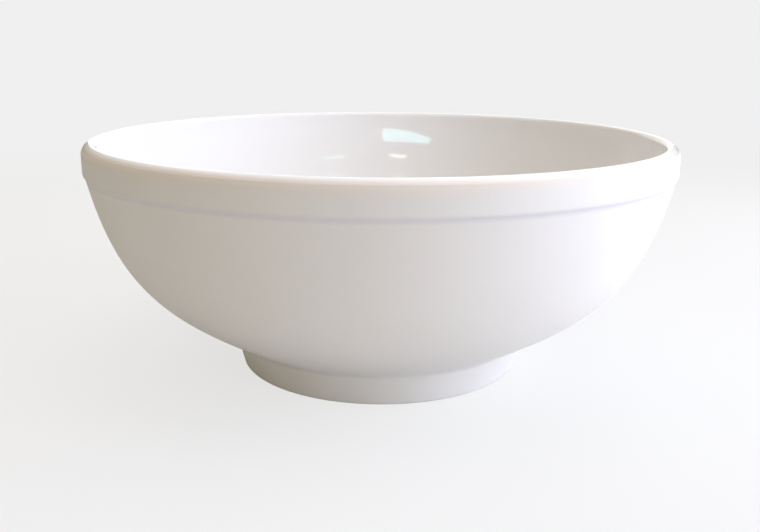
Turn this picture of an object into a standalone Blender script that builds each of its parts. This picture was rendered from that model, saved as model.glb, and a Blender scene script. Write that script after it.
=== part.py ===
"""Porcelain evaporating dish, in metres with +Z up.

The dish stands on z = 0 with its axis on Z. It is two pieces of material: the fired clay body,
with its foot ring, wall and collar, and the coat of glaze that lines it and runs over the rim.
Each piece is a half profile in the XZ plane, turned once round Z. A profile starts on the axis,
runs out along the piece's upper side, down its outer side and back to the axis underneath.
"""

import math

import bpy
from mathutils import Vector

# Overall sizes
OUTER_RADIUS = 0.1000  # to the face of the collar, the widest place
HEIGHT = 0.0803  # from the foot's land to the glazed rim

# Wall
BODY_THICKNESS = 0.0043  # clay only
UNDERSIDE_SLOPE = 30.0  # degrees above level, where the wall leaves the foot
FLARE_SLOPE = 78.0  # degrees above level, where the wall meets the collar
LOWER_FULLNESS = 0.39  # how far the wall holds its lower slope, as a share of its span
UPPER_FULLNESS = 0.50  # the same for its upper slope

# Collar and rim
COLLAR_HEIGHT = 0.0108  # from the rim down to the foot of the step
COLLAR_STEP = 0.0006  # how far the collar stands proud of the wall
STEP_HEIGHT = 0.0012  # over which the collar curves in to the wall
RIM_WIDTH = 0.0038  # clay only, from the collar's face to the bowl's inside
SHOULDER_RADIUS = 0.0022  # rounding of the rim's outer edge
LIP_RADIUS = 0.0010  # rounding of the rim's inner edge

# Foot ring
FOOT_RADIUS = 0.0497  # outer edge of the land that the dish stands on
FOOT_HEIGHT = 0.0106  # from the land up to the wall, on the outside
FOOT_WIDTH = 0.0060  # across the ring at the land
FOOT_TAPER = 14.0  # degrees that the outer face leans out, going up
FOOT_EDGE = 0.0008  # rounding of the land's two edges
FOOT_FILLET = 0.0022  # hollow between the foot and the wall
RECESS_DEPTH = 0.0055  # from the land up to the underside inside the ring
RECESS_TAPER = 10.0  # degrees that the ring's inner face leans in, going up
RECESS_FILLET = 0.0020

# Floor of the bowl
FLOOR_THICKNESS = 0.0050  # clay only, on the axis
FLOOR_FLATNESS = 0.40  # how far the floor holds level from the axis, as a share of its radius
FLOOR_BEND = 0.90  # how far the wall's slope holds, as a share of its way down to the floor

# Glaze
GLAZE_THICKNESS = 0.0004
GLAZE_GAP = 0.0003  # clearance between the two solids
GLAZE_END = 40.0  # degrees above level, on the rim's outer rounding, where the coat ends

# Fineness
TURN_STEPS = 60  # flats in one turn
WALL_STEPS = 10  # straight pieces in the wall's curve
FLOOR_STEPS = 5  # straight pieces in the floor's curve
STEP_STEPS = 3  # straight pieces in the curve under the collar
ARC_STEP = 30.0  # most degrees of arc for one straight piece of a rounding
AXIS_MERGE = 0.00001  # merge distance of the points on the axis

CLAY_TOP = HEIGHT - GLAZE_THICKNESS - GLAZE_GAP
CLAY_COLOUR = (0.76, 0.745, 0.715, 1.0)
GLAZE_COLOUR = (0.86, 0.87, 0.88, 1.0)


def direction(degrees):
    """A unit step in the profile's plane: 0 points outwards and 90 points up."""
    angle = math.radians(degrees)
    return Vector((math.cos(angle), math.sin(angle)))


def curve(start, start_handle, end_handle, end, steps):
    """Points of a cubic Bezier curve, both ends included."""
    points = []
    for step in range(steps + 1):
        t = step / steps
        s = 1.0 - t
        lead = start * s**3 + start_handle * (3.0 * s * s * t)
        points.append(lead + end_handle * (3.0 * s * t * t) + end * t**3)
    return points


def arc(centre, radius, first, last):
    """Points of an arc between two angles in degrees, both ends included."""
    steps = max(1, math.ceil(abs(last - first) / ARC_STEP))
    angles = [first + (last - first) * step / steps for step in range(steps + 1)]
    return [centre + direction(angle) * radius for angle in angles]


def rounded(before, corner, after, radius):
    """The arc that rounds the corner between two straight lines."""
    to_before = (before - corner).normalized()
    to_after = (after - corner).normalized()
    half_opening = to_before.angle(to_after) / 2.0
    middle = (to_before + to_after).normalized()
    centre = corner + middle * (radius / math.sin(half_opening))
    tangent = radius / math.tan(half_opening)
    first = corner + to_before * tangent - centre
    last = corner + to_after * tangent - centre
    first_angle = math.degrees(math.atan2(first.y, first.x))
    turn = math.degrees(math.atan2(first.cross(last), first.dot(last)))
    return arc(centre, radius, first_angle, first_angle + turn)


def parallel(points, distance):
    """The same line moved to its left, which is into the bowl for a line drawn from the axis."""
    moved = []
    for number, point in enumerate(points):
        before = points[max(number - 1, 0)]
        after = points[min(number + 1, len(points) - 1)]
        back = (point - before).normalized()
        on = (after - point).normalized()
        along = (back + on).normalized()
        mitre = distance / max(along.dot(back), along.dot(on))
        moved.append(point + Vector((-along.y, along.x)) * mitre)
    return moved


def foot_top():
    """The corner where the foot's outer face would meet the wall with no hollow between them."""
    lean = FOOT_HEIGHT * math.tan(math.radians(FOOT_TAPER))
    return Vector((FOOT_RADIUS + lean, FOOT_HEIGHT))


def outer_wall():
    """The wall's outside, from the hollow above the foot up to the collar's step."""
    opening = math.radians(90.0 + FOOT_TAPER + UNDERSIDE_SLOPE)
    low = foot_top() + direction(UNDERSIDE_SLOPE) * (FOOT_FILLET / math.tan(opening / 2.0))
    high = Vector((OUTER_RADIUS - COLLAR_STEP, HEIGHT - COLLAR_HEIGHT))
    span = (high - low).length
    low_handle = low + direction(UNDERSIDE_SLOPE) * (span * LOWER_FULLNESS)
    high_handle = high - direction(FLARE_SLOPE) * (span * UPPER_FULLNESS)
    return curve(low, low_handle, high_handle, high, WALL_STEPS)


def clay_inside():
    """The clay's upper side, from the axis along the floor and up the wall to the rim's lip."""
    wall = parallel(outer_wall(), BODY_THICKNESS)
    middle = Vector((0.0, RECESS_DEPTH + FLOOR_THICKNESS))
    slope_run = (wall[0].y - middle.y) / math.sin(math.radians(UNDERSIDE_SLOPE))
    level_handle = middle + Vector((wall[0].x * FLOOR_FLATNESS, 0.0))
    bend_handle = wall[0] - direction(UNDERSIDE_SLOPE) * (slope_run * FLOOR_BEND)
    floor = curve(middle, level_handle, bend_handle, wall[0], FLOOR_STEPS)
    lip = Vector((OUTER_RADIUS - RIM_WIDTH, CLAY_TOP))
    crest_end = Vector((OUTER_RADIUS, CLAY_TOP))
    return floor + wall[1:] + rounded(wall[-1], lip, crest_end, LIP_RADIUS)


def shoulder(last_angle):
    """The rounding of the rim's outer edge, from the crest round to this angle."""
    centre = Vector((OUTER_RADIUS - SHOULDER_RADIUS, CLAY_TOP - SHOULDER_RADIUS))
    return arc(centre, SHOULDER_RADIUS, 90.0, last_angle)


def clay_outside():
    """The collar's face, the curve of its step and the wall's outside, going down."""
    wall = outer_wall()[::-1]
    step_top = Vector((OUTER_RADIUS, wall[0].y + STEP_HEIGHT))
    down = Vector((0.0, -STEP_HEIGHT / 2.0))
    up = direction(FLARE_SLOPE) * (STEP_HEIGHT / 2.0)
    step = curve(step_top, step_top + down, wall[0] + up, wall[0], STEP_STEPS)
    return step[:-1] + wall


def foot_ring():
    """The foot's outer face, its land and the recess inside it, ending on the axis."""
    wall_end = outer_wall()[0]
    lean = RECESS_DEPTH * math.tan(math.radians(RECESS_TAPER))
    outer = Vector((FOOT_RADIUS, 0.0))
    inner = Vector((FOOT_RADIUS - FOOT_WIDTH, 0.0))
    recess = Vector((FOOT_RADIUS - FOOT_WIDTH - lean, RECESS_DEPTH))
    middle = Vector((0.0, RECESS_DEPTH))
    hollow = rounded(wall_end, foot_top(), outer, FOOT_FILLET)
    edges = rounded(foot_top(), outer, inner, FOOT_EDGE) + rounded(outer, inner, recess, FOOT_EDGE)
    return hollow[1:] + edges + rounded(inner, recess, middle, RECESS_FILLET) + [middle]


def body_profile():
    return clay_inside() + shoulder(0.0) + clay_outside() + foot_ring()


def glaze_profile():
    """The coat's face, drawn from the axis over the rim, and its back, drawn the other way."""
    line = clay_inside() + shoulder(GLAZE_END)
    face = parallel(line, GLAZE_GAP + GLAZE_THICKNESS)
    back = parallel(line, GLAZE_GAP)
    face[0].x = back[0].x = 0.0
    return face + back[::-1]


def finish(name, colour, roughness):
    """A Principled material."""
    material = bpy.data.materials.new(name)
    material.use_nodes = True
    shader = material.node_tree.nodes["Principled BSDF"]
    shader.inputs["Base Color"].default_value = colour
    shader.inputs["Roughness"].default_value = roughness
    shader.inputs["Metallic"].default_value = 0.0
    material.diffuse_color = colour
    return material


def turned(name, profile, material, collection):
    """A piece turned from its profile by one full Screw round Z."""
    mesh = bpy.data.meshes.new(name)
    edges = [(number, number + 1) for number in range(len(profile) - 1)]
    mesh.from_pydata([(point.x, 0.0, point.y) for point in profile], edges, [])
    mesh.materials.append(material)
    piece = bpy.data.objects.new(name, mesh)
    screw = piece.modifiers.new("turn", "SCREW")
    screw.axis = "Z"
    screw.angle = math.tau
    screw.steps = TURN_STEPS
    screw.render_steps = TURN_STEPS
    screw.use_merge_vertices = True
    screw.merge_threshold = AXIS_MERGE
    screw.use_smooth_shade = True
    collection.objects.link(piece)
    return piece


def build():
    for old in list(bpy.data.objects):
        bpy.data.objects.remove(old, do_unlink=True)
    dish = bpy.data.collections.new("evaporating_dish")
    bpy.context.scene.collection.children.link(dish)
    clay = finish("biscuit_porcelain", CLAY_COLOUR, 0.6)
    glaze = finish("clear_glaze", GLAZE_COLOUR, 0.08)
    turned("porcelain_body", body_profile(), clay, dish)
    turned("inner_glaze", glaze_profile(), glaze, dish)


build()
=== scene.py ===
# %% [markdown]
# # An evaporating dish
#
# The real object is a heavy laboratory dish of hard porcelain, about 200 mm across. It was
# shaped on a wheel against a plaster mould, stood on its foot ring and fired, so every level
# cut through it is a circle. The outside is bare fired clay, and the inside has a coat of
# clear glaze that runs over the rim. The dish is a still object: it has no moving part.
#
# The lesson makes two pieces, the clay and its glaze, then the two finishes, then the studio.
# The measured model of the dish is loaded first. It fixes the size and the place of all the rest.

# %% Load the measured model
import math

import bmesh
import bpy
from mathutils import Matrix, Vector


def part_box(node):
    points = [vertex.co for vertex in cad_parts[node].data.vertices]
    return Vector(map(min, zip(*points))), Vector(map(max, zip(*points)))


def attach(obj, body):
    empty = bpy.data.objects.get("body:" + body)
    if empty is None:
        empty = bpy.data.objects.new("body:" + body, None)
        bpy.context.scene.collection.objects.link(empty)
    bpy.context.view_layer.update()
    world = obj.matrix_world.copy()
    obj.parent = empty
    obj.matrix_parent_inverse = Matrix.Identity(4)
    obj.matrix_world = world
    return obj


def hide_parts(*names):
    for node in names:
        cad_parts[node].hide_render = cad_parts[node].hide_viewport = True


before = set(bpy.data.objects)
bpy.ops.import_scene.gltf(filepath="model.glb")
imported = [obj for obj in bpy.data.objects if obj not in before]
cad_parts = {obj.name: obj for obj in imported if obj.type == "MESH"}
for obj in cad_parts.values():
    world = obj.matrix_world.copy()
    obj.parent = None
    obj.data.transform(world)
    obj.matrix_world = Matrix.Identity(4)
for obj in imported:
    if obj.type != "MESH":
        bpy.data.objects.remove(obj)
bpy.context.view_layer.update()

# %% [markdown]
# ## Sizes
#
# A turned piece is known by its half section, a line in the XZ plane. The outer radius, the
# height and the level of the bowl's floor are read from the measured model. The others are
# the potter's sizes: how steeply the wall leaves the foot, how wide the foot's land is, and how
# round each edge is. They could be typed in metres, but a potter thinks in millimetres.

# %% Sizes of the dish
MM = 0.001
_, clay_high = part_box("porcelain_body")
coat_low, coat_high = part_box("inner_glaze")

RIM_RADIUS = clay_high.x
RIM_HEIGHT = coat_high.z
COAT = 0.4 * MM  # thickness of the glaze
SEAM = 0.02 * MM  # between the glaze and the clay, too fine to see
WALL = 4.6 * MM  # clay, measured across
UNDERSIDE_SLOPE, FLARE_SLOPE = 30.0, 78.0  # degrees above level, at the foot and at the collar
LOWER_FULLNESS, UPPER_FULLNESS = 0.39, 0.50  # how far the wall holds each slope
COLLAR_HEIGHT, COLLAR_STEP, STEP_HEIGHT = 10.8 * MM, 0.8 * MM, 1.8 * MM
RIM_WIDTH = 4.1 * MM
FOOT_RADIUS, FOOT_HEIGHT, LAND_WIDTH = 49.7 * MM, 10.6 * MM, 6.0 * MM
FOOT_LEAN, RECESS_LEAN = 14.0, 10.0  # degrees from upright
FOOT_HOLLOW = 3.0 * MM  # radius where the foot meets the wall
RECESS_DEPTH = 5.5 * MM
FLOOR_LEVEL = coat_low.z
FLOOR_FLATNESS, FLOOR_BEND = 0.40, 0.90
print("rim radius and height in mm:", round(RIM_RADIUS / MM, 2), round(RIM_HEIGHT / MM, 2))

# %% [markdown]
# ## The line of the section
#
# The wall swells out from the foot and turns up to the collar in one sweep, with no flat place
# and no corner. Straight lines and arcs could stand for it, but a Bezier curve holds the two
# end slopes exactly and passes smoothly between them, as a potter's rib does. The bowl's inside
# follows the same sweep, one wall's thickness away.

# %% Helpers for the section
def direction(degrees):
    """A unit step in the section: 0 points out from the axis and 90 points up."""
    angle = math.radians(degrees)
    return Vector((math.cos(angle), 0.0, math.sin(angle)))


def sweep(start, start_handle, end_handle, end, steps):
    """Points along a Bezier curve, both ends included."""
    points = []
    for step in range(steps + 1):
        t = step / steps
        s = 1.0 - t
        lead = start * s**3 + start_handle * (3.0 * s * s * t)
        points.append(lead + end_handle * (3.0 * s * t * t) + end * t**3)
    return points


def beside(points, distance):
    """The same line, moved sideways into the bowl."""
    moved = []
    for number, point in enumerate(points):
        before = points[max(number - 1, 0)]
        after = points[min(number + 1, len(points) - 1)]
        along = (after - before).normalized()
        moved.append(point + Vector((-along.z, 0.0, along.x)) * distance)
    return moved


# %% Lines of the wall, the floor, the rim and the foot
foot_lean = math.tan(math.radians(FOOT_LEAN))
foot_top = Vector((FOOT_RADIUS + FOOT_HEIGHT * foot_lean, 0.0, FOOT_HEIGHT))
opening = math.radians(90.0 + FOOT_LEAN + UNDERSIDE_SLOPE)
wall_low = foot_top + direction(UNDERSIDE_SLOPE) * (FOOT_HOLLOW / math.tan(opening / 2.0))
wall_high = Vector((RIM_RADIUS - COLLAR_STEP, 0.0, RIM_HEIGHT - COLLAR_HEIGHT))
span = (wall_high - wall_low).length
outside = sweep(
    wall_low,
    wall_low + direction(UNDERSIDE_SLOPE) * (span * LOWER_FULLNESS),
    wall_high - direction(FLARE_SLOPE) * (span * UPPER_FULLNESS),
    wall_high,
    steps=44,
)
inside = beside(outside, WALL)

middle = Vector((0.0, 0.0, FLOOR_LEVEL - SEAM))
slope_run = (inside[0].z - middle.z) / math.sin(math.radians(UNDERSIDE_SLOPE))
floor_line = sweep(
    middle,
    middle + Vector((inside[0].x * FLOOR_FLATNESS, 0.0, 0.0)),
    inside[0] - direction(UNDERSIDE_SLOPE) * (slope_run * FLOOR_BEND),
    inside[0],
    steps=20,
)
print("the wall's line has", len(outside), "points, and the floor's has", len(floor_line))

# %% [markdown]
# ## The clay, turned as on a wheel
#
# The body could be cut from a ball or built up from rings, but a turned thing is quickest as one
# spin of its half section. A small plane is added and merged to a single point on the axis, and
# that point is extruded from place to place, the way a pencil goes along a paper template:
# over the floor, up the wall, over the rim, down the outside, round the foot ring and back to
# the axis under the floor. Its corners are still sharp. Each one is rounded with a bevel while
# the section is only a line, because one point is easier to catch than a ring of edges.

# %% Draw the half section
def draw_line(name, points):
    """A new mesh in edit mode: one point on the axis, extruded along the line."""
    bpy.ops.object.select_all(action="DESELECT")
    bpy.ops.mesh.primitive_plane_add(size=1.0 * MM, location=(0.0, 0.0, 0.0))
    piece = bpy.context.object
    piece.name = piece.data.name = name
    bpy.ops.object.mode_set(mode="EDIT")
    bpy.ops.mesh.select_mode(type="VERT")
    bpy.ops.mesh.merge(type="CENTER")
    bpy.ops.transform.translate(value=points[0])
    for here, there in zip(points, points[1:]):
        bpy.ops.mesh.extrude_vertices_move(TRANSFORM_OT_translate={"value": there - here})
    return piece


def round_corner(piece, corner, radius, segments=8):
    """Bevels the point of the line that is nearest to the corner, to an arc of that radius."""
    bpy.ops.mesh.select_all(action="DESELECT")
    line = bmesh.from_edit_mesh(piece.data)
    point = min(line.verts, key=lambda candidate: (candidate.co - corner).length)
    one, other = (edge.other_vert(point).co - point.co for edge in point.link_edges)
    cut = radius / math.tan(one.angle(other) / 2.0)
    point.select_set(True)
    line.select_flush_mode()
    bmesh.update_edit_mesh(piece.data)
    bpy.ops.mesh.bevel(offset_type="OFFSET", offset=cut, segments=segments, affect="VERTICES")


LIP_REACH = 1.6 * MM  # straight clay left under the lip for its rounding
LIP_SLOPE = 88.0  # degrees above level, of the inside just under the lip
clay_top = RIM_HEIGHT - COAT - SEAM
lip = Vector((RIM_RADIUS - RIM_WIDTH, 0.0, clay_top))
crest = Vector((RIM_RADIUS, 0.0, clay_top))
step_top = wall_high + Vector((COLLAR_STEP, 0.0, STEP_HEIGHT))
lip_foot = lip - Vector((0.0, 0.0, LIP_REACH))
handle = (lip_foot - inside[-1]).length / 3.0
collar_inside = sweep(
    inside[-1],
    inside[-1] + direction(FLARE_SLOPE) * handle,
    lip_foot - direction(LIP_SLOPE) * handle,
    lip_foot,
    steps=12,
)
collar_step = sweep(
    step_top,
    step_top - Vector((0.0, 0.0, STEP_HEIGHT / 2.0)),
    wall_high + direction(FLARE_SLOPE) * (STEP_HEIGHT / 2.0),
    wall_high,
    steps=8,
)
land_outer = Vector((FOOT_RADIUS, 0.0, 0.0))
land_inner = Vector((FOOT_RADIUS - LAND_WIDTH, 0.0, 0.0))
recess_run = RECESS_DEPTH * math.tan(math.radians(RECESS_LEAN))
recess_corner = land_inner + Vector((-recess_run, 0.0, RECESS_DEPTH))
under_middle = Vector((0.0, 0.0, RECESS_DEPTH))

section = floor_line + inside[1:] + collar_inside[1:] + [lip, crest]
section += collar_step + outside[-2:0:-1]
section += [foot_top, land_outer, land_inner, recess_corner, under_middle]
dish_body = draw_line("dish_body", section)
print("the section has", len(section), "points before its corners are rounded")

# %% Round the corners of the section
SHOULDER = 3.0 * MM  # the rim's outer edge
LIP = 1.3 * MM  # the rim's inner edge
LAND_EDGE = 0.8 * MM
RECESS_HOLLOW = 2.0 * MM

round_corner(dish_body, crest, SHOULDER, segments=12)
round_corner(dish_body, lip, LIP)
round_corner(dish_body, foot_top, FOOT_HOLLOW)
round_corner(dish_body, land_outer, LAND_EDGE)
round_corner(dish_body, land_inner, LAND_EDGE)
round_corner(dish_body, recess_corner, RECESS_HOLLOW)
print("rounded section:", len(bmesh.from_edit_mesh(dish_body.data).verts), "points")

# %% [markdown]
# ## One turn of the wheel
#
# Spin carries the section once round Z. The last copy lands on the first, and the points on
# the axis lie on top of each other, so they are merged. Only then are the normals
# recalculated, because they can't be told apart on a shell that is still open at its seam.

# %% Spin the section
TURN_STEPS = 240


def turn_round(piece):
    """Spins the line in edit mode, closes it, turns its faces out and leaves edit mode."""
    bpy.ops.mesh.select_all(action="SELECT")
    bpy.ops.mesh.spin(steps=TURN_STEPS, angle=math.tau, center=(0, 0, 0), axis=(0, 0, 1))
    bpy.ops.mesh.select_all(action="SELECT")
    bpy.ops.mesh.remove_doubles(threshold=0.01 * MM)
    bpy.ops.mesh.normals_make_consistent(inside=False)
    bpy.ops.object.mode_set(mode="OBJECT")
    bpy.ops.object.shade_smooth()
    print(piece.name, "has", len(piece.data.polygons), "faces")


turn_round(dish_body)

# %% [markdown]
# ## The glaze
#
# Glaze is a glass that melts over the clay as a skin under half a millimetre thick. It covers
# the bowl and the rim's crest, and thins out to nothing on the outer shoulder, where the potter
# wiped it back. A second turned line could stand for it, but then the two would have to be kept
# apart by hand. Here the coat is taken from the clay itself: the faces it covers are
# chosen by the way they face, copied, lifted off by a hair and thickened with Solidify. A
# vertex group makes the coat thinner towards its end on the shoulder. A coat this thin looks right
# even when it is far too thin, so its mean thickness is worked out from its volume and printed.

# %% Copy the faces that the glaze covers
COAT_END = 40.0  # degrees above level, on the shoulder
STEEPEST = -0.05  # upward share of a normal. Upright clay is glazed, and the recess stays bare


def under_glaze(face):
    """True for a face of the bowl's inside, or of the rim above the end of the coat."""
    centre, normal = face.center, face.normal
    inward = normal.x * centre.x + normal.y * centre.y < 0.0
    return normal.z > STEEPEST if inward else normal.z > math.sin(math.radians(COAT_END))


bpy.ops.object.mode_set(mode="EDIT")
bpy.ops.mesh.select_mode(type="FACE")
bpy.ops.mesh.select_all(action="DESELECT")
bpy.ops.object.mode_set(mode="OBJECT")
for face in dish_body.data.polygons:
    face.select = under_glaze(face)
bpy.ops.object.mode_set(mode="EDIT")
bpy.ops.mesh.duplicate()
bpy.ops.transform.shrink_fatten(value=SEAM)
bpy.ops.mesh.separate(type="SELECTED")
bpy.ops.object.mode_set(mode="OBJECT")
glaze_coat = next(piece for piece in bpy.context.selected_objects if piece != dish_body)
glaze_coat.name = glaze_coat.data.name = "glaze_coat"
print("the glaze covers", len(glaze_coat.data.polygons), "faces")

# %% Give the coat its thickness
THINNEST = 0.05  # share of the full coat, at its end on the shoulder
SHARP_EDGE = 40.0  # degrees between two faces, past which their edge stays crisp
shoulder_middle = Vector((RIM_RADIUS - SHOULDER, 0.0, clay_top - SHOULDER))
weights = glaze_coat.vertex_groups.new(name="coat")
for point in glaze_coat.data.vertices:
    out = math.hypot(point.co.x, point.co.y) - shoulder_middle.x
    up = point.co.z - shoulder_middle.z
    past_crest = math.degrees(math.atan2(out, up)) if out > 0.0 else 0.0
    share = min(past_crest / (90.0 - COAT_END), 1.0)
    weights.add([point.index], 1.0 - share * (1.0 - THINNEST), "REPLACE")

bpy.ops.object.select_all(action="DESELECT")
glaze_coat.select_set(True)
bpy.context.view_layer.objects.active = glaze_coat
thicken = glaze_coat.modifiers.new("thickness", "SOLIDIFY")
thicken.thickness = COAT
thicken.offset = 1.0
thicken.use_rim = True
thicken.vertex_group = "coat"
bpy.ops.object.modifier_apply(modifier="thickness")
bpy.ops.object.shade_smooth_by_angle(angle=math.radians(SHARP_EDGE))
coat_mesh = bmesh.new()
coat_mesh.from_mesh(glaze_coat.data)
coat_area = sum(face.calc_area() for face in coat_mesh.faces) / 2.0
coat_thickness = coat_mesh.calc_volume() / coat_area
coat_mesh.free()
print("glaze_coat has", len(glaze_coat.data.polygons), "faces")
print("its mean thickness in mm:", round(coat_thickness / MM, 3))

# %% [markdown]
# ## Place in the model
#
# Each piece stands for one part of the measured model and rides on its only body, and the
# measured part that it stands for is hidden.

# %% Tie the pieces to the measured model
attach(dish_body, "root")
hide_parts("porcelain_body")
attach(glaze_coat, "root")
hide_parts("inner_glaze")

# %% [markdown]
# ## Two helpers for finishes
#
# Colours are written as a paint chart gives them, in hex, and one function turns them to the
# linear values that a shader works in. Another adds a node with its settings and its links.

# %% Helpers for finishes
def linear(colour):
    """An sRGB colour such as #EDE9E2 as linear red, green, blue and alpha."""
    levels = [int(colour[start : start + 2], 16) / 255.0 for start in (1, 3, 5)]
    curve = [v / 12.92 if v <= 0.04045 else ((v + 0.055) / 1.055) ** 2.4 for v in levels]
    return (*curve, 1.0)


def add_node(tree, kind, inputs=(), **settings):
    """A new node. Each input is given a value, or a socket to link from."""
    node = tree.nodes.new(kind)
    for name, value in settings.items():
        setattr(node, name, value)
    for name, value in dict(inputs).items():
        if isinstance(value, bpy.types.NodeSocket):
            tree.links.new(value, node.inputs[name])
        else:
            node.inputs[name].default_value = value
    return node


# %% [markdown]
# ## Biscuit porcelain
#
# The bare body is hard-paste porcelain, fired and left without glaze. It is a warm white, matt
# and very smooth to the hand, with a grain of about 0.1 mm and the faint rings that the
# turning rib left. A flat white would look like plastic, so the colour drifts softly over
# several centimetres, the rings and the grain are drawn as bump, the clay is warmer in the last
# few millimetres under the rim, the hollow under the collar is painted a little grey as shade,
# and the land is ground and greyer still.

# %% Biscuit porcelain, turned and fired without glaze
biscuit = bpy.data.materials.new("biscuit_porcelain_turned")
biscuit.use_nodes = True
tree = biscuit.node_tree
tree.nodes.clear()
place = add_node(tree, "ShaderNodeTexCoord")
parts = add_node(tree, "ShaderNodeSeparateXYZ", {"Vector": place.outputs["Object"]})
flat = add_node(
    tree,
    "ShaderNodeVectorMath",
    {0: place.outputs["Object"], 1: (1.0, 1.0, 0.0)},
    operation="MULTIPLY",
)
radius = add_node(tree, "ShaderNodeVectorMath", {0: flat.outputs["Vector"]}, operation="LENGTH")
way = add_node(
    tree,
    "ShaderNodeMath",
    {0: radius.outputs["Value"], 1: parts.outputs["Z"]},
    operation="ADD",
)

# Drifts of colour, about 50 mm from one to the next
drift = add_node(
    tree,
    "ShaderNodeTexNoise",
    {"Vector": place.outputs["Object"], "Scale": 20.0, "Detail": 2.0, "Roughness": 0.5},
)
body_colour = add_node(
    tree,
    "ShaderNodeMix",
    {
        "Factor": drift.outputs["Fac"],
        "A": linear("#EEEAE3"),
        "B": linear("#E8E3DA"),
    },
    data_type="RGBA",
)
# Warmer clay, fading over 5 mm under the rim
WARM_LOW, WARM_HIGH, WARM_STRENGTH = RIM_HEIGHT - 6.0 * MM, RIM_HEIGHT - 1.0 * MM, 0.35
rim_warmth = add_node(
    tree,
    "ShaderNodeMapRange",
    {
        "Value": parts.outputs["Z"],
        "From Min": WARM_LOW,
        "From Max": WARM_HIGH,
        "To Min": 0.0,
        "To Max": WARM_STRENGTH,
    },
    interpolation_type="SMOOTHSTEP",
)
rim_warmed = add_node(
    tree,
    "ShaderNodeMix",
    {
        "Factor": rim_warmth.outputs["Result"],
        "A": body_colour.outputs["Result"],
        "B": linear("#F3DFCB"),
    },
    data_type="RGBA",
)
# The ground land, the lowest half millimetre
ground = add_node(
    tree,
    "ShaderNodeMapRange",
    {
        "Value": parts.outputs["Z"],
        "From Min": 0.2 * MM,
        "From Max": 0.6 * MM,
        "To Min": 1.0,
        "To Max": 0.0,
    },
    interpolation_type="SMOOTHSTEP",
)
# Painted shade: a little grey in the hollow under the collar, deepening the step's own shade
HOLLOW_PLACE, HOLLOW_REACH, HOLLOW_SHADE = 0.35, 1.6 * MM, 0.8  # place is a share of the step
hollow = RIM_HEIGHT - COLLAR_HEIGHT + HOLLOW_PLACE * STEP_HEIGHT
from_hollow = add_node(
    tree, "ShaderNodeMath", {0: parts.outputs["Z"], 1: hollow}, operation="SUBTRACT"
)
off_hollow = add_node(
    tree, "ShaderNodeMath", {0: from_hollow.outputs["Value"]}, operation="ABSOLUTE"
)
grey = add_node(
    tree,
    "ShaderNodeMapRange",
    {
        "Value": off_hollow.outputs["Value"],
        "From Min": 0.0,
        "From Max": HOLLOW_REACH,
        "To Min": HOLLOW_SHADE,
        "To Max": 0.0,
    },
    interpolation_type="SMOOTHSTEP",
)
# The painted shade of the hollow is mixed into the clay's colour here
hollow_shaded = add_node(
    tree,
    "ShaderNodeMix",
    {
        "Factor": grey.outputs["Result"],
        "A": rim_warmed.outputs["Result"],
        "B": linear("#DCD9D8"),
    },
    data_type="RGBA",
)
clay_colour = add_node(
    tree,
    "ShaderNodeMix",
    {
        "Factor": ground.outputs["Result"],
        "A": hollow_shaded.outputs["Result"],
        "B": linear("#D3CDC2"),
    },
    data_type="RGBA",
)
# Turning rings, about 1 mm apart
rings = add_node(
    tree,
    "ShaderNodeTexNoise",
    {"W": way.outputs["Value"], "Scale": 800.0, "Detail": 1.0},
    noise_dimensions="1D",
)
ring_bump = add_node(
    tree,
    "ShaderNodeBump",
    {"Height": rings.outputs["Fac"], "Strength": 0.12, "Distance": 0.02 * MM},
)
# Grain, drawn at 0.4 mm because the real 0.1 mm is too fine to show
grain = add_node(
    tree,
    "ShaderNodeTexNoise",
    {"Vector": place.outputs["Object"], "Scale": 2500.0, "Detail": 3.0, "Roughness": 0.6},
)
grain_bump = add_node(
    tree,
    "ShaderNodeBump",
    {
        "Height": grain.outputs["Fac"],
        "Strength": 0.25,
        "Distance": 0.02 * MM,
        "Normal": ring_bump.outputs["Normal"],
    },
)
dull = add_node(
    tree,
    "ShaderNodeMapRange",
    {"Value": grain.outputs["Fac"], "To Min": 0.52, "To Max": 0.64},
)
shader = add_node(
    tree,
    "ShaderNodeBsdfPrincipled",
    {
        "Base Color": clay_colour.outputs["Result"],
        "Roughness": dull.outputs["Result"],
        "Normal": grain_bump.outputs["Normal"],
        "IOR": 1.50,
        "Metallic": 0.0,
        "Specular IOR Level": 0.35,
        "Subsurface Weight": 0.12,
        "Subsurface Radius": (1.0, 0.75, 0.55),
        "Subsurface Scale": 1.5 * MM,
    },
)
add_node(tree, "ShaderNodeOutputMaterial", {"Surface": shader.outputs["BSDF"]})
dish_body.data.materials.clear()
dish_body.data.materials.append(biscuit)
print(biscuit.name, "has", len(tree.nodes), "nodes")
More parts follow.
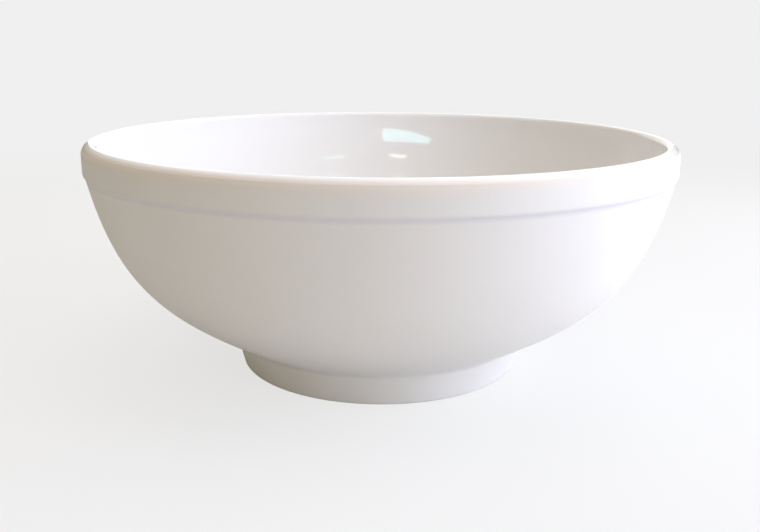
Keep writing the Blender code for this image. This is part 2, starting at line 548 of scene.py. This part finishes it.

# %% [markdown]
# ## Clear glaze
#
# The glaze is a feldspar glass, brushed or poured into the bowl and melted at about 1400 degrees.
# It pulls itself level, so it is as glossy as a window, but not as flat: it keeps slow swells
# about a centimetre across and a fine orange peel. A clear coat over a white base could be a
# refracting glass, which is slow and shows no more here, because the clay behind it is white. It
# is a white body with a sharp gloss, a cooler tint where the glass lies deeper at the
# bottom of the bowl, a painted highlight that makes the crest whiter than the inside, the colour
# of the clay where the coat thins out on the shoulder, and a few pinholes.

# %% Clear glaze, poured and fired
glaze = bpy.data.materials.new("clear_glaze_poured")
glaze.use_nodes = True
tree = glaze.node_tree
tree.nodes.clear()
place = add_node(tree, "ShaderNodeTexCoord")
parts = add_node(tree, "ShaderNodeSeparateXYZ", {"Vector": place.outputs["Object"]})
pool = add_node(
    tree,
    "ShaderNodeMapRange",
    {
        "Value": parts.outputs["Z"],
        "From Min": FLOOR_LEVEL,
        "From Max": FLOOR_LEVEL + 14.0 * MM,
        "To Min": 1.0,
        "To Max": 0.0,
    },
    interpolation_type="SMOOTHSTEP",
)
pooled = add_node(
    tree,
    "ShaderNodeMix",
    {
        "Factor": pool.outputs["Result"],
        "A": linear("#ECE9E6"),
        "B": linear("#EBF0F0"),
    },
    data_type="RGBA",
)
# The thin end of the coat on the shoulder, where the warmer clay shows through
flat = add_node(
    tree,
    "ShaderNodeVectorMath",
    {0: place.outputs["Object"], 1: (1.0, 1.0, 0.0)},
    operation="MULTIPLY",
)
radius = add_node(tree, "ShaderNodeVectorMath", {0: flat.outputs["Vector"]}, operation="LENGTH")
thin = add_node(
    tree,
    "ShaderNodeMapRange",
    {
        "Value": radius.outputs["Value"],
        "From Min": RIM_RADIUS - 2.4 * MM,
        "From Max": RIM_RADIUS - 0.7 * MM,
        "To Min": 0.0,
        "To Max": 1.0,
    },
    interpolation_type="SMOOTHSTEP",
)
# The crest, painted whiter than the bowl's inside as a highlight
crest_highlight_mask = add_node(
    tree,
    "ShaderNodeMapRange",
    {
        "Value": radius.outputs["Value"],
        "From Min": RIM_RADIUS - 4.2 * MM,
        "From Max": RIM_RADIUS - 3.0 * MM,
    },
    interpolation_type="SMOOTHSTEP",
)
# The painted highlight of the crest is mixed into the glaze's colour here
crest_highlighted = add_node(
    tree,
    "ShaderNodeMix",
    {
        "Factor": crest_highlight_mask.outputs["Result"],
        "A": pooled.outputs["Result"],
        "B": linear("#FAF9F7"),
    },
    data_type="RGBA",
)
edged = add_node(
    tree,
    "ShaderNodeMix",
    {
        "Factor": thin.outputs["Result"],
        "A": crest_highlighted.outputs["Result"],
        "B": linear("#EFE5DA"),
    },
    data_type="RGBA",
)
# Pinholes under 0.5 mm across, about one in a hundred square centimetres
cells = add_node(
    tree,
    "ShaderNodeTexVoronoi",
    {"Vector": place.outputs["Object"], "Scale": 60.0, "Randomness": 1.0},
)
hole = add_node(
    tree,
    "ShaderNodeMapRange",
    {
        "Value": cells.outputs["Distance"],
        "From Min": 0.008,
        "From Max": 0.014,
        "To Min": 0.35,
        "To Max": 0.0,
    },
)
glaze_colour = add_node(
    tree,
    "ShaderNodeMix",
    {
        "Factor": hole.outputs["Result"],
        "A": edged.outputs["Result"],
        "B": linear("#A99C8C"),
    },
    data_type="RGBA",
)
# Slow swells, about 12 mm across, and orange peel of about 1.5 mm
swell = add_node(
    tree,
    "ShaderNodeTexNoise",
    {"Vector": place.outputs["Object"], "Scale": 85.0, "Detail": 1.0},
)
swell_bump = add_node(
    tree,
    "ShaderNodeBump",
    {"Height": swell.outputs["Fac"], "Strength": 1.0, "Distance": 0.035 * MM},
)
peel = add_node(
    tree,
    "ShaderNodeTexNoise",
    {"Vector": place.outputs["Object"], "Scale": 650.0, "Detail": 1.0},
)
peel_bump = add_node(
    tree,
    "ShaderNodeBump",
    {
        "Height": peel.outputs["Fac"],
        "Strength": 0.5,
        "Distance": 0.004 * MM,
        "Normal": swell_bump.outputs["Normal"],
    },
)
gloss = add_node(
    tree,
    "ShaderNodeMapRange",
    {"Value": swell.outputs["Fac"], "To Min": 0.02, "To Max": 0.05},
)
shader = add_node(
    tree,
    "ShaderNodeBsdfPrincipled",
    {
        "Base Color": glaze_colour.outputs["Result"],
        "Roughness": gloss.outputs["Result"],
        "Normal": peel_bump.outputs["Normal"],
        "IOR": 1.50,
        "Metallic": 0.0,
    },
)
add_node(tree, "ShaderNodeOutputMaterial", {"Surface": shader.outputs["BSDF"]})
glaze_coat.data.materials.clear()
glaze_coat.data.materials.append(glaze)
print(glaze.name, "has", len(tree.nodes), "nodes")

# %% [markdown]
# ## The studio floor
#
# The dish stands on a wide sheet of pale matt paper. One sheet could do both of a floor's jobs,
# to be seen and to throw light up at the dish, but then a sheet bright enough to look pale would
# wash out the shade under the bowl. A studio hides this with lamps on the floor alone. Here the
# camera sees one sheet, lifted a little by a glow of its own, and the light bounces off
# another, plain one just under it. Far from the dish the seen sheet glows at the tone of the
# backdrop, so that no line shows where the two meet.

# %% Helpers for the stage
FLOOR_REACH = 6.0
BACKDROP_GLOW, PAPER_GLOW = 0.87, 0.68
PAPER_END, BACKDROP_START = 0.30, 0.80  # metres from the dish, where one tone turns to the other
SHEET_GAP = 0.5 * MM  # between the sheet that is seen and the one that light bounces off


def stage_material(name):
    """A new, empty material and its node tree."""
    material = bpy.data.materials.new(name)
    material.use_nodes = True
    material.node_tree.nodes.clear()
    return material, material.node_tree


def glowing(name, strength, colour="#FFFFFF"):
    """A material that only glows."""
    material, tree = stage_material(name)
    glow = add_node(tree, "ShaderNodeEmission", {"Color": linear(colour), "Strength": strength})
    add_node(tree, "ShaderNodeOutputMaterial", {"Surface": glow.outputs["Emission"]})
    return material


def stage_sheet(name, height, material):
    """A round sheet of the whole studio's reach, at that height."""
    bpy.ops.object.select_all(action="DESELECT")
    bpy.ops.mesh.primitive_circle_add(
        vertices=96, radius=FLOOR_REACH, fill_type="NGON", location=(0.0, 0.0, height)
    )
    sheet = bpy.context.object
    sheet.name = name
    sheet.data.materials.append(material)
    return sheet


# %% Floor and backdrop
paper, tree = stage_material("matt_paper")
place = add_node(tree, "ShaderNodeTexCoord")
reach = add_node(
    tree, "ShaderNodeVectorMath", {0: place.outputs["Object"]}, operation="LENGTH"
)
far = add_node(
    tree,
    "ShaderNodeMapRange",
    {"Value": reach.outputs["Value"], "From Min": PAPER_END, "From Max": BACKDROP_START},
    interpolation_type="SMOOTHSTEP",
)
matt = add_node(tree, "ShaderNodeBsdfDiffuse", {"Color": linear("#898989")})
lift = add_node(tree, "ShaderNodeEmission", {"Strength": PAPER_GLOW})
lifted = add_node(
    tree, "ShaderNodeAddShader", {0: matt.outputs["BSDF"], 1: lift.outputs["Emission"]}
)
glow = add_node(tree, "ShaderNodeEmission", {"Strength": BACKDROP_GLOW})
blended = add_node(
    tree,
    "ShaderNodeMixShader",
    {0: far.outputs["Result"], 1: lifted.outputs["Shader"], 2: glow.outputs["Emission"]},
)
add_node(tree, "ShaderNodeOutputMaterial", {"Surface": blended.outputs["Shader"]})
floor = stage_sheet("studio_floor", 0.0, paper)

plain_paper, tree = stage_material("plain_paper")
matt = add_node(tree, "ShaderNodeBsdfDiffuse", {"Color": linear("#EEEEEE")})
add_node(tree, "ShaderNodeOutputMaterial", {"Surface": matt.outputs["BSDF"]})
bounce = stage_sheet("bounce_sheet", -SHEET_GAP, plain_paper)
bounce.visible_camera = False

bpy.ops.object.select_all(action="DESELECT")
bpy.ops.mesh.primitive_uv_sphere_add(segments=48, ring_count=24, radius=FLOOR_REACH)
backdrop = bpy.context.object
backdrop.name = "studio_backdrop"
backdrop.data.materials.append(glowing("lit_backdrop", BACKDROP_GLOW))

for seen_only in (floor, backdrop):
    seen_only.visible_diffuse = False
    seen_only.visible_glossy = False
    seen_only.visible_transmission = False
    seen_only.visible_shadow = False
print("floor and backdrop reach", FLOOR_REACH, "m")

# %% [markdown]
# ## Light
#
# Porcelain is white on white, so only the light draws its shape. One strong lamp would cut hard
# shadows into it. Large soft boxes let the tone roll slowly from the warm, shaded left
# to the cool, bright right.

# %% Soft boxes
SOFT_BOXES = (
    # name, degrees round from the front, distance, height, aim, width, depth, radiance, colour
    ("soft_box_right", 90, 0.5, 0.26, 0.26, 0.6, 0.5, 2.85, "#E3EDFF"),
    ("soft_box_right_front", 60, 0.5, 0.26, 0.26, 0.5, 0.5, 1.99, "#CCD8FF"),
    ("soft_box_front", 0, 1.2, 0.70, 0.05, 0.8, 0.6, 1.20, "#FFF7ED"),
    ("soft_box_back", 180, 0.9, 0.40, 0.05, 0.9, 0.6, 1.16, "#FFFFFF"),
    ("soft_box_top", 0, 0.0, 0.90, 0.00, 0.8, 0.8, 1.24, "#FFF2F3"),
)


def soft_box(name, azimuth, distance, height, aim, width, depth, radiance, colour):
    """An area lamp that looks at the dish's axis. It lights surfaces and isn't mirrored."""
    turn = math.radians(azimuth)
    stand = Vector((math.sin(turn) * distance, -math.cos(turn) * distance, height))
    bpy.ops.object.select_all(action="DESELECT")
    bpy.ops.object.light_add(type="AREA", location=stand)
    lamp = bpy.context.object
    lamp.name = lamp.data.name = name
    lamp.rotation_euler = (stand - Vector((0.0, 0.0, aim))).to_track_quat("Z", "Y").to_euler()
    lamp.data.shape = "RECTANGLE"
    lamp.data.size, lamp.data.size_y = width, depth
    lamp.data.energy = radiance * math.pi * width * depth
    lamp.data.color = linear(colour)[:3]
    lamp.visible_camera = False
    lamp.visible_glossy = False
    print(name, "gives", round(lamp.data.energy, 2), "W")
    return lamp


for values in SOFT_BOXES:
    soft_box(*values)

# %% [markdown]
# ## Two lamps for the glaze
#
# In a real studio the bowl's inside and the crest of its rim are so white that they almost burn
# out, while the bare clay outside stays a soft grey. One lamp high behind the dish picks out the
# crest, and one high on the right shines into the bowl. Cards called flags would keep both off
# the paper, and the second off the clay too. Here each lamp is given a list of the pieces that it
# may light.

# %% Lamps with flags
rim_lamp = soft_box("rim_lamp", 180, 0.42, 0.95, 0.0, 0.8, 0.8, 1.1, "#FFFFFF")
bowl_lamp = soft_box("bowl_lamp", 65, 0.75, 0.70, 0.05, 0.5, 0.5, 2.0, "#F2FAFF")
for lamp, pieces in ((rim_lamp, (dish_body, glaze_coat)), (bowl_lamp, (glaze_coat,))):
    lit = bpy.data.collections.new("lit_by_" + lamp.name)
    for piece in pieces:
        lit.objects.link(piece)
    lamp.light_linking.receiver_collection = lit

# %% [markdown]
# ## Fill
#
# Light also comes from the walls of a room. A few more lamps could stand for them, but a world
# of one dim, warm tone does the same and leaves no direction of its own.

# %% Even fill of the room
FILL = 0.30
world = bpy.data.worlds.new("studio_fill")
bpy.context.scene.world = world
world.use_nodes = True
world.node_tree.nodes.clear()
sky = add_node(
    world.node_tree, "ShaderNodeBackground", {"Color": linear("#FFF8E2"), "Strength": FILL}
)
add_node(world.node_tree, "ShaderNodeOutputWorld", {"Surface": sky.outputs["Background"]})

# %% [markdown]
# ## Window panes
#
# What tells the eye that the bowl is glazed is a few sharp bright shapes on its far wall: the
# panes of a window behind the camera. Each is drawn as an outline on one upright plane
# in front of the dish, filled with a face and made to glow. The panes show in the gloss only, so
# that they don't change the soft light.

# %% Panes for the glaze to mirror
WINDOW_DISTANCE = 1.4


def glowing_face(name, outline, strength, colour):
    """A flat face with that outline. It glows, and shows in the gloss only."""
    face = draw_line(name, outline)
    bpy.ops.mesh.select_all(action="SELECT")
    bpy.ops.mesh.edge_face_add()
    bpy.ops.object.mode_set(mode="OBJECT")
    face.data.materials.append(glowing(name, strength, colour))
    face.visible_camera = False
    face.visible_diffuse = False
    face.visible_shadow = False
    return face


PANES = (
    # name, glow, colour, corners as metres to the right and up
    (
        "pane_wide",
        6.5,
        "#B8FAFF",
        ((-0.027, 0.51), (-0.217, 0.52), (-0.703, 0.615), (-0.648, 0.65), (-0.029, 0.60)),
    ),
    (
        "pane_left",
        7.0,
        "#EFFFD8",
        ((-0.11, 0.72), (-0.35, 0.73), (-0.35, 0.78), (-0.12, 0.76)),
    ),
    (
        "pane_right",
        3.6,
        "#B8FFCC",
        ((0.47, 0.74), (0.86, 0.81), (0.87, 0.86), (0.48, 0.79)),
    ),
    (
        "pane_right_high",
        2.3,
        "#B0FFC6",
        ((0.51, 1.05), (0.93, 1.10), (0.95, 1.20), (0.52, 1.12)),
    ),
    (
        "pane_left_high",
        2.7,
        "#FFF6C6",
        ((-0.17, 1.03), (-0.32, 1.04), (-0.35, 1.12), (-0.16, 1.11)),
    ),
)

for name, strength, colour, corners in PANES:
    outline = [Vector((right, -WINDOW_DISTANCE, up)) for right, up in corners]
    pane = glowing_face(name, outline, strength, colour)
print("window of", len(PANES), "panes")

# %% [markdown]
# ## A card for the crest
#
# The crest of the rim is seen almost edge on, and at so low an angle glaze mirrors a good part
# of what stands behind it. A brighter lamp would whiten the whole bowl to reach the crest. A
# white card upright behind the dish whitens the crest alone.

# %% White card behind the dish
CARD_DISTANCE, CARD_WIDTH, CARD_GLOW = 1.3, 1.25, 1.3
CARD_LOW, CARD_HIGH = 0.01, 1.0  # its lower and upper edges

half = CARD_WIDTH / 2.0
corners = ((-half, CARD_LOW), (half, CARD_LOW), (half, CARD_HIGH), (-half, CARD_HIGH))
outline = [Vector((right, CARD_DISTANCE, up)) for right, up in corners]
card = glowing_face("white_card", outline, CARD_GLOW, "#FFFFFF")
print("card", CARD_WIDTH, "m wide at", CARD_DISTANCE, "m behind the dish")

# %% [markdown]
# ## Camera
#
# The camera stands close in front of the dish and a little above its rim, looking down by about
# 15 degrees. A lens of normal length keeps the near and far sides of the rim in proportion.

# %% Camera
CAMERA_BACK, CAMERA_HEIGHT = 0.3024, 0.1124  # metres from the dish's axis and above the paper
CAMERA_TILT, CAMERA_ROLL = 75.229, 0.339  # degrees from looking straight down, and about its view
LENS = 40.59

bpy.ops.object.select_all(action="DESELECT")
bpy.ops.object.camera_add(
    location=(0.0, -CAMERA_BACK, CAMERA_HEIGHT), rotation=(math.radians(CAMERA_TILT), 0.0, 0.0)
)
camera = bpy.context.object
camera.rotation_euler.rotate_axis("Z", math.radians(CAMERA_ROLL))
camera.data.lens = LENS
camera.data.clip_start = 0.01
bpy.context.scene.camera = camera
bpy.context.scene.view_settings.view_transform = "Standard"
print("camera", [round(value, 4) for value in camera.location])
